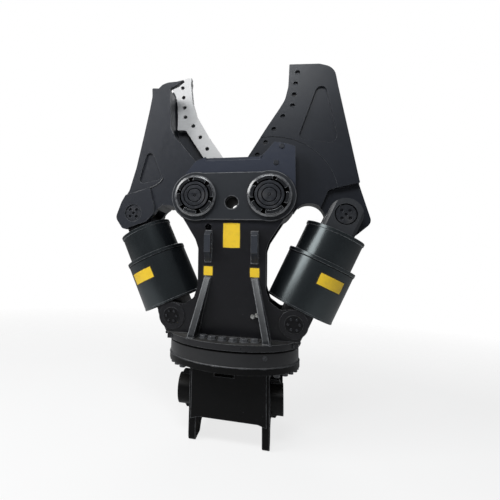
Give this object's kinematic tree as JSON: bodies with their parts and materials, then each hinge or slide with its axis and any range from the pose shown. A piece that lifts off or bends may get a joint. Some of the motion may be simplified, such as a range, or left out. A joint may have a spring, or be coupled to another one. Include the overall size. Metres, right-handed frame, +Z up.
{
  "type": "demolition shear",
  "caption": "Rotating demolition shear for a mini excavator, with passing jaws on a slewing housing, guarded hydraulic cylinders and a pin-on carrier head.",
  "frame": {"origin": "centre of the stick pin's bore in the carrier head, midway between the two ears", "axes": "+Z up along the slew axis towards the jaw tips, +X along the carrier pins towards the jaw with the single plate, -Y towards the side with the stick pin"},
  "size_m": [0.8275, 0.4409, 1.2229],
  "materials": {
    "carrier_paint": "semi-gloss black enamel with scuffs and dust",
    "ring_paint": "satin black enamel",
    "housing_paint": "semi-gloss black enamel",
    "jaw_paint": "semi-gloss black enamel with a bluish sheen",
    "guard_paint": "satin black enamel",
    "motor_paint": "satin black enamel",
    "barrel_paint": "satin black enamel",
    "bare_blade_steel": "ground bare steel",
    "dark_blade_steel": "oiled dark steel",
    "pin_steel": "dark phosphated steel",
    "nut_steel": "black oxide with bright edges",
    "bolt_steel": "black oxide steel",
    "plated_steel": "zinc plated steel",
    "ball_steel": "polished bearing steel",
    "gear_steel": "greased machined steel",
    "swivel_steel": "machined steel",
    "bush_bronze": "machined bronze",
    "rod_end_steel": "dark forged steel",
    "rod_chrome": "hard chrome",
    "marker_yellow": "plain yellow vinyl with a thin dark edge"
  },
  "bodies": {
    "bracket": {"bracket_base_plate": "carrier_paint", "bracket_ear_left": "carrier_paint", "bracket_ear_right": "carrier_paint", "bracket_front_plate": "carrier_paint", "bracket_rear_plate": "carrier_paint", "pin_bosses": "carrier_paint", "pin_bushes": "bush_bronze", "slew_outer_ring": "ring_paint", "slew_balls": "ball_steel", "base_ring_bolts": "bolt_steel", "swing_motor": "motor_paint", "swivel_body": "swivel_steel"},
    "slew_pinion": {"slew_pinion": "gear_steel"},
    "housing": {"slew_inner_ring": "gear_steel", "slew_flange": "housing_paint", "flange_bolts": "bolt_steel", "housing_front_plate": "housing_paint", "housing_rear_plate": "housing_paint", "front_doubler": "housing_paint", "rear_doubler": "housing_paint", "housing_side_plates": "housing_paint", "housing_cross_web": "housing_paint", "centre_spacer_tube": "housing_paint", "gusset_ribs": "housing_paint", "lifting_lugs": "housing_paint", "main_pins": "pin_steel", "lock_nuts": "nut_steel", "pin_grease_nipples": "plated_steel", "thrust_washers": "bush_bronze", "guide_pads": "bush_bronze", "guide_screws": "plated_steel", "lower_pins": "pin_steel", "lower_pin_screws": "plated_steel", "swivel_rotor": "swivel_steel"},
    "jaw_left": {"jaw_left_front_plate": "jaw_paint", "jaw_left_core": "jaw_paint", "jaw_left_rear_plate": "jaw_paint", "jaw_left_blade": "bare_blade_steel", "jaw_left_blade_screws": "bolt_steel", "jaw_left_bush": "bush_bronze", "upper_pin_left": "pin_steel"},
    "jaw_right": {"jaw_right_plate": "jaw_paint", "jaw_right_blade": "dark_blade_steel", "jaw_right_blade_screws": "bolt_steel", "jaw_right_bush": "bush_bronze", "upper_pin_right": "pin_steel"},
    "barrel_left": {"barrel_left": "barrel_paint", "gland_left": "rod_end_steel", "barrel_guard_left": "guard_paint"},
    "rod_left": {"rod_left": "rod_chrome", "rod_end_left": "rod_end_steel", "rod_guard_left": "guard_paint"},
    "barrel_right": {"barrel_right": "barrel_paint", "gland_right": "rod_end_steel", "barrel_guard_right": "guard_paint"},
    "rod_right": {"rod_right": "rod_chrome", "rod_end_right": "rod_end_steel", "rod_guard_right": "guard_paint"}
  },
  "joints": [
    {"name": "slew", "type": "hinge", "parent": "bracket", "child": "housing", "pos_m": [0, 0.065, 0.15], "axis": [0, 0, 1], "continuous": true},
    {"name": "pinion_spin", "type": "hinge", "parent": "bracket", "child": "slew_pinion", "pos_m": [0, 0.164, 0.1], "axis": [0, 0, 1], "continuous": true},
    {"name": "jaw_left_close", "type": "hinge", "parent": "housing", "child": "jaw_left", "pos_m": [-0.118, 0.065, 0.614], "axis": [0, 1, 0], "range_deg": [-3, 27]},
    {"name": "jaw_right_close", "type": "hinge", "parent": "housing", "child": "jaw_right", "pos_m": [0.118, 0.065, 0.614], "axis": [0, -1, 0], "range_deg": [-3, 27]},
    {"name": "barrel_left_swing", "type": "hinge", "parent": "housing", "child": "barrel_left", "pos_m": [-0.188, 0.065, 0.224], "axis": [0, 1, 0], "range_deg": [-0.65, 5.45]},
    {"name": "rod_left_slide", "type": "slide", "parent": "barrel_left", "child": "rod_left", "axis": [-0.4223, 0, 0.9065], "range_m": [-0.0114, 0.1021]},
    {"name": "barrel_right_swing", "type": "hinge", "parent": "housing", "child": "barrel_right", "pos_m": [0.188, 0.065, 0.224], "axis": [0, -1, 0], "range_deg": [-0.65, 5.45]},
    {"name": "rod_right_slide", "type": "slide", "parent": "barrel_right", "child": "rod_right", "axis": [0.4223, 0, 0.9065], "range_m": [-0.0114, 0.1021]}
  ],
  "couplings": [
    {"joint": "pinion_spin", "follows": "slew", "ratio": 3.5385},
    {"joint": "barrel_left_swing", "follows": "jaw_left_close", "ratio": 0.19867},
    {"joint": "rod_left_slide", "follows": "jaw_left_close", "m_per_rad": 0.21661},
    {"joint": "barrel_right_swing", "follows": "jaw_right_close", "ratio": 0.19867},
    {"joint": "rod_right_slide", "follows": "jaw_right_close", "m_per_rad": 0.21661}
  ]
}
